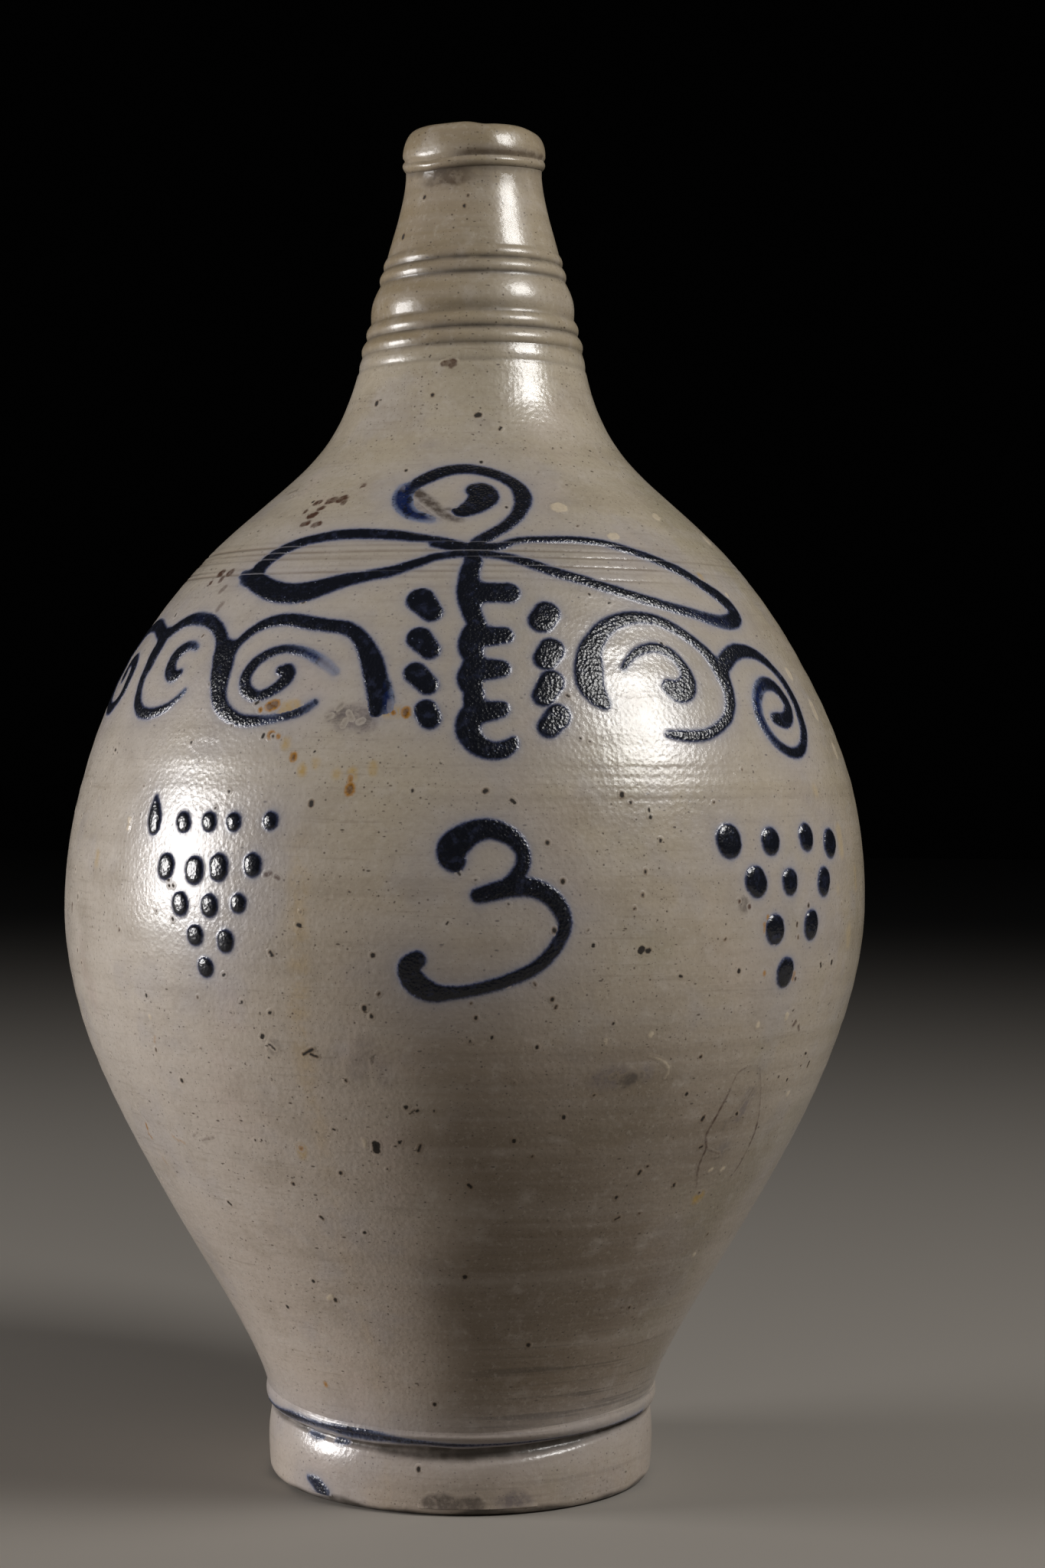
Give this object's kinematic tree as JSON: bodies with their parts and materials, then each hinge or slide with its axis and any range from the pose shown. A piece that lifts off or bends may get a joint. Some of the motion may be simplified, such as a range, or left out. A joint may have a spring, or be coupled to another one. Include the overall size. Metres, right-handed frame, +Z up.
{
  "type": "stoneware jug",
  "caption": "Wheel-thrown ovoid jug for liquids with a turned foot, narrow cordoned neck, thick lip and a strap handle at the back.",
  "frame": {"origin": "centre of the foot's flat underside, on the jug's axis", "axes": "+Z up along the jug's axis; the decorated front faces -Y and the handle is at +Y; +X is to the viewer's right"},
  "size_m": [0.2704, 0.2704, 0.455],
  "materials": {
    "body_glaze": "grey-beige salt glaze with orange peel, dark specks and wiping bands",
    "neck_glaze": "salt glaze with a brown wash under the lip",
    "cobalt_glaze": "thick glassy cobalt slip, near black with blue edges"
  },
  "bodies": {
    "root": {"foot_base": "body_glaze", "lower_body": "body_glaze", "upper_body": "body_glaze", "neck": "neck_glaze", "lip": "neck_glaze", "handle": "body_glaze"}
  },
  "joints": []
}
